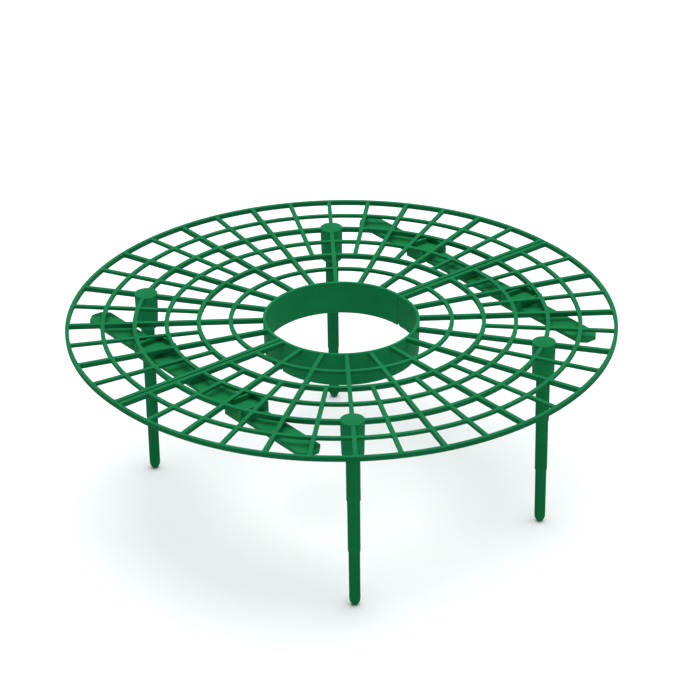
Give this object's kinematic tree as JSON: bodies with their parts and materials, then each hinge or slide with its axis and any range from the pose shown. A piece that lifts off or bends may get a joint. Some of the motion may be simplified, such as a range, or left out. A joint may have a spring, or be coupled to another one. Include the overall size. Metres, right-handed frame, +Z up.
{
  "type": "strawberry plant support",
  "caption": "Round flat growing net in two halves, with a collar round the plant opening, clips across the seam and legs that push into sockets.",
  "frame": {"origin": "bottom centre of the support, level with the tips of the legs", "axes": "+Z up, +X along the seam between the two net halves, +Y towards the back half"},
  "size_m": [0.3, 0.3036, 0.1127],
  "materials": {
    "net_plastic": "satin",
    "clip_plastic": "satin",
    "leg_plastic": "satin"
  },
  "bodies": {
    "net_half_back": {"net_half_back": "net_plastic"},
    "net_half_front": {"net_half_front": "net_plastic"},
    "clip_left": {"connecting_clip_left": "clip_plastic"},
    "clip_right": {"connecting_clip_right": "clip_plastic"},
    "leg_back_left": {"leg_back_left": "leg_plastic"},
    "leg_back_right": {"leg_back_right": "leg_plastic"},
    "leg_front_left": {"leg_front_left": "leg_plastic"},
    "leg_front_right": {"leg_front_right": "leg_plastic"}
  },
  "joints": [
    {"name": "front_half_lift", "type": "slide", "parent": "net_half_back", "child": "net_half_front", "axis": [0, 0, 1], "range_m": [0, 0.03]},
    {"name": "clip_left_drop", "type": "slide", "parent": "net_half_back", "child": "clip_left", "axis": [0, 0, -1], "range_m": [0, 0.02]},
    {"name": "clip_right_drop", "type": "slide", "parent": "net_half_back", "child": "clip_right", "axis": [0, 0, -1], "range_m": [0, 0.02]},
    {"name": "leg_back_left_pull", "type": "slide", "parent": "net_half_back", "child": "leg_back_left", "axis": [0, 0, -1], "range_m": [0, 0.022]},
    {"name": "leg_back_right_pull", "type": "slide", "parent": "net_half_back", "child": "leg_back_right", "axis": [0, 0, -1], "range_m": [0, 0.022]},
    {"name": "leg_front_left_pull", "type": "slide", "parent": "net_half_front", "child": "leg_front_left", "axis": [0, 0, -1], "range_m": [0, 0.022]},
    {"name": "leg_front_right_pull", "type": "slide", "parent": "net_half_front", "child": "leg_front_right", "axis": [0, 0, -1], "range_m": [0, 0.022]}
  ]
}
